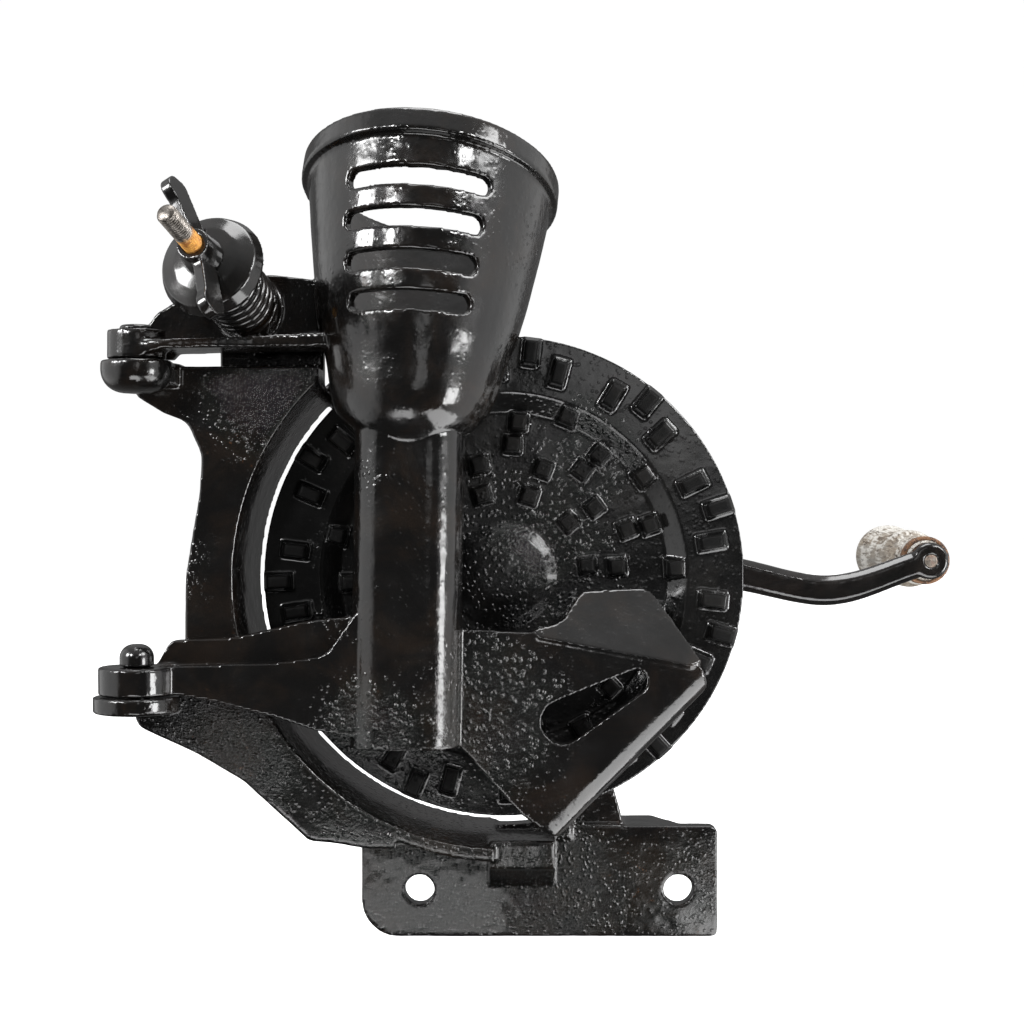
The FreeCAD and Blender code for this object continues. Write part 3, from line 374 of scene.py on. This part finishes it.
def applied(obj):
    """Makes an object's modifiers part of its mesh."""
    graph = bpy.context.evaluated_depsgraph_get()
    mesh = bpy.data.meshes.new_from_object(obj.evaluated_get(graph))
    obj.modifiers.clear()
    obj.data = mesh
    mesh.polygons.foreach_set("use_smooth", [True] * len(mesh.polygons))
    return obj


def softened(node, voxel, rounds, lumps=0.0, lump_size=0.012):
    """Copy of a CAD node with rounded edges and, on a casting, an uneven skin."""
    source = frame["nodes"][node]
    obj = bpy.data.objects.new(node + "_skin", source.data.copy())
    bpy.context.scene.collection.objects.link(obj)
    obj.data.materials.clear()
    remesh = obj.modifiers.new("voxels", "REMESH")
    remesh.mode = "VOXEL"
    remesh.voxel_size = voxel
    smooth = obj.modifiers.new("smooth", "SMOOTH")
    smooth.factor = 0.5
    smooth.iterations = rounds
    if lumps:
        skin = obj.modifiers.new("skin", "DISPLACE")
        skin.texture = bpy.data.textures.new(node + "_lumps", "CLOUDS")
        skin.texture.noise_scale = lump_size
        skin.texture.noise_depth = 2
        skin.texture_coords = "LOCAL"
        skin.strength = lumps
        skin.mid_level = SKIN_LEVEL
    return applied(obj)


def finish_piece(obj, body, material, slot, *nodes):
    """Gives a piece its material and body, and hides the CAD nodes that it stands for."""
    obj.data.materials.clear()
    obj.data.materials.append(material)
    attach(obj, body)
    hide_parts(*nodes)


# Materials of this object


def from_shaft(x, y, z):
    """Place given in millimetres from the front of the disc's middle."""
    return SHAFT + Vector((x, y, z)) * MM


ROUGH_FRAME = ((from_shaft(-48, 10, -155), 0.066), (from_shaft(-135, -25, -82), 0.040),
               (from_shaft(-115, -25, 92), 0.034), (from_shaft(20, 10, -160), 0.040))
ROUGH_HOPPER = ((from_shaft(-6, -36, -62), 0.040), (from_shaft(-62, -50, -70), 0.028),
                (from_shaft(-8, -30, 105), 0.016), (from_shaft(12, -5, 150), 0.036))
ROUGH_DISC = ((from_shaft(0, 0, 0), 0.058), (from_shaft(-70, 0, -75), 0.055), (from_shaft(40, 0, 60), 0.030))
CAST_COLOURS = ((0.0035, 0.0033, 0.0032), (0.009, 0.0065, 0.005))
SMALL_COLOURS = ((0.004, 0.0038, 0.0036), (0.010, 0.008, 0.007))
CASTING = cast_enamel("casting_black", *CAST_COLOURS, 0.0026, 0.0009, 0.50, 0.5, ROUGH_FRAME)
HOPPER_CASTING = cast_enamel("hopper_black", *CAST_COLOURS, 0.0030, 0.0008, 0.56, 0.2, ROUGH_HOPPER)
DISC = cast_enamel("disc_black", (0.004, 0.004, 0.004), (0.009, 0.0085, 0.008), 0.0028, 0.0008, 0.56, 0.0,
                   ROUGH_DISC, 0.0002, toothed=True)
FASTENER = cast_enamel("fastener_black", *SMALL_COLOURS, 0.0012, 0.00014, 0.6)
SPRING = cast_enamel("spring_black", *SMALL_COLOURS, 0.0010, 0.00010, 0.6)
PIN_STEEL = old_steel("pin_steel", (0.24, 0.22, 0.20), (0.09, 0.075, 0.06), RUST)
SPINDLE_STEEL = old_steel("spindle_steel", (0.30, 0.27, 0.24), (0.12, 0.10, 0.08), (0.13, 0.06, 0.03))
THREAD = thread_steel()
WOOD = weathered_wood()
FERRULE = ferrule_metal()

# Castings and small parts: node, body, voxel in mm, smoothing rounds, lumps in mm, material, slot
SOFTENED = (
    ("frame_casting", "frame", 1.1, 3, 0.30, CASTING, "casting_black"),
    ("hopper_casting", "hopper", 1.0, 2, 0.25, HOPPER_CASTING, "casting_black"),
    ("shelling_disc", "rotor", 0.8, 1, 0.15, DISC, "disc_black"),
    ("crank_arm", "rotor", 0.9, 4, 0.25, FASTENER, "casting_black"),
    ("spring_cup", "cup", 0.6, 4, 0.12, FASTENER, "fastener_black"),
    ("wing_nut", "wing", 0.5, 5, 0.20, FASTENER, "fastener_black"),
    ("hinge_pin_lower", "frame", 0.5, 3, 0.10, FASTENER, "fastener_black"),
    ("hinge_pin_upper", "frame", 0.5, 3, 0.10, FASTENER, "fastener_black"),
    ("crank_nut", "rotor", 0.5, 2, 0.06, FASTENER, "fastener_black"),
    ("crank_washer", "rotor", 0.4, 1, 0.0, FASTENER, "fastener_black"),
    ("stud_nut", "frame", 0.5, 2, 0.06, FASTENER, "fastener_black"),
    ("drive_shaft", "rotor", 0.6, 1, 0.0, PIN_STEEL, "pin_steel"),
    ("grip_spindle", "rotor", 0.4, 2, 0.05, SPINDLE_STEEL, "spindle_steel"),
    ("grip_washer", "rotor", 0.35, 1, 0.0, SPINDLE_STEEL, "spindle_steel"),
)
for node, body, voxel, rounds, lumps, material, slot in SOFTENED:
    piece = softened(node, voxel * MM, rounds, lumps * MM)
    finish_piece(piece, body, material, slot, node)
for node in ("thrust_washer_front", "thrust_washer_rear", "disc_pin"):
    obj = frame["nodes"][node]
    obj.data.materials.clear()
    obj.data.materials.append(PIN_STEEL)


# Stud with its thread

STUD_R = 4.75 * MM
STUD_TAPER = 1.2 * MM       # length of the rounded tip
PLAIN_TO = -12.0 * MM       # where the thread starts, from the wing nut's foot
THREAD_PITCH = 1.5875 * MM
THREAD_DEPTH = 0.75 * MM


def axis_frame(direction):
    """Two directions square to direction."""
    side = Vector((0, 0, 1)).cross(direction).normalized()
    return side, direction.cross(side)


def span_along_stud(node):
    """Lowest and highest distance of a node along the stud, from the wing nut's foot."""
    mesh = frame["nodes"][node].data
    along = [(v.co - WING_AT).dot(STUD_AXIS) for v in mesh.vertices]
    return min(along), max(along)


def threaded_stud():
    low, high = span_along_stud("tension_stud")
    around, per_pitch = 40, 8
    step = THREAD_PITCH / per_pitch
    places = [low, low + 0.0006, PLAIN_TO - 0.0004]
    places += [PLAIN_TO + step * i for i in range(int((high - PLAIN_TO) / step))] + [high]
    side, up = axis_frame(STUD_AXIS)
    points = []
    for at in places:
        for j in range(around):
            angle = 2 * math.pi * j / around
            phase = (at / THREAD_PITCH - j / around) % 1.0
            tooth = abs(phase - 0.5) * 2.0
            cut = THREAD_DEPTH * min(1.0, max(0.0, (tooth - 0.12) / 0.76)) if at > PLAIN_TO else 0.0
            tip = max(0.0, 1.0 - (high - at) / STUD_TAPER) * 0.9 * MM
            foot = 0.6 * MM if at == low else 0.0
            r = STUD_R - max(cut, tip, foot)
            points.append(WING_AT + STUD_AXIS * at + (side * math.cos(angle) + up * math.sin(angle)) * r)
    return capped_tube("tension_stud_threaded", points, around)


finish_piece(threaded_stud(), "frame", THREAD, "stud_steel", "tension_stud")


# Spring in two halves, its foot at the hopper and its head at the cup: the foot half rides with the frame,
# the cup half is left on no body

SPRING_R = 14.6 * MM
WIRE_R = 2.3 * MM
SPRING_TURNS = 8.0
STEPS_PER_TURN = 36
spring_low, spring_high = span_along_stud("tension_spring")


def coil(name, share_from, share_to):
    """Stretch of the coil. Its pitch closes up at both ends of the spring."""
    side, up = axis_frame(STUD_AXIS)
    steps, around = int(SPRING_TURNS * (share_to - share_from) * STEPS_PER_TURN), 14
    room = spring_high - spring_low - 2 * WIRE_R
    points = []
    for i in range(steps + 1):
        share = share_from + (share_to - share_from) * i / steps
        angle = 2 * math.pi * SPRING_TURNS * share
        closed = 0.5 - 0.5 * math.cos(math.pi * share)
        at = spring_low + WIRE_R + room * (0.88 * share + 0.12 * closed)
        out = side * math.cos(angle) + up * math.sin(angle)
        centre = WING_AT + STUD_AXIS * at + out * SPRING_R
        for j in range(around):
            turn = 2 * math.pi * j / around
            points.append(centre + out * (WIRE_R * math.cos(turn)) + STUD_AXIS * (WIRE_R * math.sin(turn)))
    return capped_tube(name, points, around)


foot_half = coil("tension_spring_foot", 0.0, 0.5)
cup_half = coil("tension_spring_head", 0.5, 1.0)
finish_piece(foot_half, "frame", SPRING, "spring_black", "tension_spring")
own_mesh(foot_half)
cup_half.data.materials.append(SPRING)
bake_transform(cup_half)
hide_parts("tension_spring")


# Grip, turned and dried out

PROFILE_STEP = 0.0004
GROOVE_DEPTH = 0.32 * MM


def grip_profile():
    """Outer radius of the CAD grip, sampled along Y."""
    found = {}
    for v in frame["nodes"]["crank_grip"].data.vertices:
        r = math.hypot(v.co.x - GRIP_AT.x, v.co.z - GRIP_AT.z)
        key = round(v.co.y / PROFILE_STEP)
        found[key] = max(found.get(key, 0.0), r)
    return sorted((key * PROFILE_STEP, r) for key, r in found.items())


def turned_grip():
    low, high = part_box("crank_grip")
    ys, rs = np.array(grip_profile()).T
    lathe_y = np.concatenate([[low[1]], np.linspace(low[1] + 0.0004, high[1] - 0.0006, 150), [high[1]]])
    around = 128
    points = []
    rng = np.random.default_rng(7)
    waves = [(rng.integers(9, 41), rng.uniform(0, 6.3), rng.uniform(20, 90), rng.uniform(0.4, 1.0))
             for _ in range(14)]
    for y in lathe_y:
        r = float(np.interp(y, ys, rs)) - 0.12 * MM
        if y in (lathe_y[0], lathe_y[-1]):
            r -= 0.5 * MM
        for j in range(around):
            angle = 2 * math.pi * j / around
            dry = sum(a * math.sin(n * angle + p + f * (y - low[1])) for n, p, f, a in waves) / 14
            out = r - GROOVE_DEPTH * max(0.0, dry) ** 1.5
            points.append((GRIP_AT.x + out * math.cos(angle), y, GRIP_AT.z + out * math.sin(angle)))
    return capped_tube("crank_grip_turned", points, around)


finish_piece(turned_grip(), "grip", WOOD, "weathered_wood", "crank_grip")
ferrule = softened("grip_ferrule", 0.4 * MM, 2, 0.12 * MM, 0.005)
finish_piece(ferrule, "grip", FERRULE, "ferrule_steel", "grip_ferrule")


# Studio

PHOTO_DISTANCE = 0.880    # camera to the front of the disc
PHOTO_SIDE, PHOTO_HEIGHT = 0.004, 0.032
FOCAL, SENSOR = 61.875, 36.0
DISC_FRONT_Y = -0.020
FLOOR_DROP, BOUNCE_DROP = 0.09, 0.08    # below the object
FLOOR_REACH, DOME_R = 9.0, 8.0

BOUNCE_Z = cad_box[0].z - BOUNCE_DROP
MIDDLE = (SHAFT.x, 0.0, SHAFT.z)

# Lights: name, place, what it is aimed at, width, height if not square, power in watts
LIGHTS = (
    ("key_left", (-1.35, -0.75, 0.75), MIDDLE, 0.45, None, 16.0),
    ("key_right", (1.15, -0.75, 1.05), MIDDLE, 0.6, None, 13.0),
    ("spark_left", (-0.85, -1.25, 0.80), MIDDLE, 0.22, None, 9.0),
    ("spark_right", (0.75, -1.20, 0.95), MIDDLE, 0.22, None, 5.0),
    ("low_right", (0.95, -0.70, -0.05), MIDDLE, 0.40, None, 7.0),
    ("bounce_right", (0.24, -0.25, BOUNCE_Z), (0.24, -0.25, 1.0), 0.28, 0.45, 1.9),
    ("bounce_left", (-0.15, -0.45, BOUNCE_Z), (-0.15, -0.45, 1.0), 0.26, None, 1.0),
    ("soft_front", (0.24, -2.0, 0.46), MIDDLE, 0.42, None, 0.7),
    ("top", (0.0, -0.1, 1.6), MIDDLE, 0.8, None, 14.0),
)


def area(name, at, aim, size, size_y, power):
    """Square or oblong soft light that the camera doesn't see."""
    data = bpy.data.lights.new(name, "AREA")
    data.energy = power
    data.color = (1, 1, 1)
    data.shape = "RECTANGLE" if size_y else "SQUARE"
    data.size = size
    if size_y:
        data.size_y = size_y
    obj = bpy.data.objects.new(name, data)
    obj.location = at
    obj.rotation_euler = (Vector(aim) - Vector(at)).to_track_quat("-Z", "Y").to_euler()
    obj.visible_camera = False
    bpy.context.scene.collection.objects.link(obj)


def floor_paint():
    """Pale floor, lit up to white behind the object like a studio sweep."""
    material, nodes, links, shader = new_material("floor")
    split = nodes.new("ShaderNodeSeparateXYZ")
    links.new(position(nodes), split.inputs["Vector"])
    lit = ramp(nodes, links, split.outputs["Y"], -0.1, 0.16, 0.6, 1.0)
    shader.inputs["Base Color"].default_value = (0.8, 0.8, 0.8, 1.0)
    shader.inputs["Roughness"].default_value = 0.9
    shader.inputs["Emission Color"].default_value = (1.0, 1.0, 1.0, 1.0)
    links.new(lit, shader.inputs["Emission Strength"])
    return material


def backdrop():
    """White dome behind everything, which lights nothing."""
    bpy.ops.mesh.primitive_uv_sphere_add(segments=48, ring_count=24, radius=DOME_R, location=(0.0, 0.0, 0.0))
    dome = bpy.context.object
    dome.name = "backdrop"
    material, _, _, shader = new_material("backdrop")
    shader.inputs["Base Color"].default_value = (0.0, 0.0, 0.0, 1.0)
    shader.inputs["Emission Color"].default_value = (1.0, 1.0, 1.0, 1.0)
    shader.inputs["Emission Strength"].default_value = 1.0
    dome.data.materials.append(material)
    dome.visible_glossy = dome.visible_diffuse = dome.visible_shadow = False


def place_camera():
    camera = bpy.data.objects.new("camera", bpy.data.cameras.new("camera"))
    bpy.context.scene.collection.objects.link(camera)
    camera.data.lens, camera.data.sensor_width = FOCAL, SENSOR
    camera.location = (SHAFT.x + PHOTO_SIDE, DISC_FRONT_Y - PHOTO_DISTANCE, SHAFT.z + PHOTO_HEIGHT)
    camera.rotation_euler = (math.pi / 2, 0, 0)
    bpy.context.scene.camera = camera


def lay_floor():
    low, reach = cad_box[0].z - FLOOR_DROP, FLOOR_REACH
    corners = [(-reach, -reach, low), (reach, -reach, low), (reach, reach, low), (-reach, reach, low)]
    floor = from_arrays("floor", corners, [(0, 1, 2, 3)], False)
    floor.data.materials.append(floor_paint())
    floor.visible_glossy = floor.visible_diffuse = False


def surroundings():
    """Soft light from all round: bright at the sides, dim overhead, dark in front."""
    world = bpy.data.worlds.new("world")
    bpy.context.scene.world = world
    world.use_nodes = True
    nodes, links = world.node_tree.nodes, world.node_tree.links
    nodes.clear()
    out = nodes.new("ShaderNodeOutputWorld")
    back = nodes.new("ShaderNodeBackground")
    split = nodes.new("ShaderNodeSeparateXYZ")
    links.new(nodes.new("ShaderNodeTexCoord").outputs["Generated"], split.inputs["Vector"])
    behind = ramp(nodes, links, split.outputs["Y"], -0.3, 0.6, 0.04, 0.14)
    flank = ramp(nodes, links, maths(nodes, links, "ABSOLUTE", split.outputs["X"], 0.0), 0.6, 0.85, 0.0, 0.95)
    side = maths(nodes, links, "ADD", behind, flank)
    above = ramp(nodes, links, split.outputs["Z"], 0.25, 0.95, 0.0, 0.55)
    bright = maths(nodes, links, "ADD", side, above)
    links.new(mix(nodes, links, bright, (0.0, 0.0, 0.0), (1.0, 1.0, 1.0)), back.inputs["Color"])
    back.inputs["Strength"].default_value = 1.0
    links.new(back.outputs["Background"], out.inputs["Surface"])


place_camera()
lay_floor()
backdrop()
surroundings()
for light in LIGHTS:
    area(*light)
bpy.context.scene.view_settings.view_transform = "Standard"
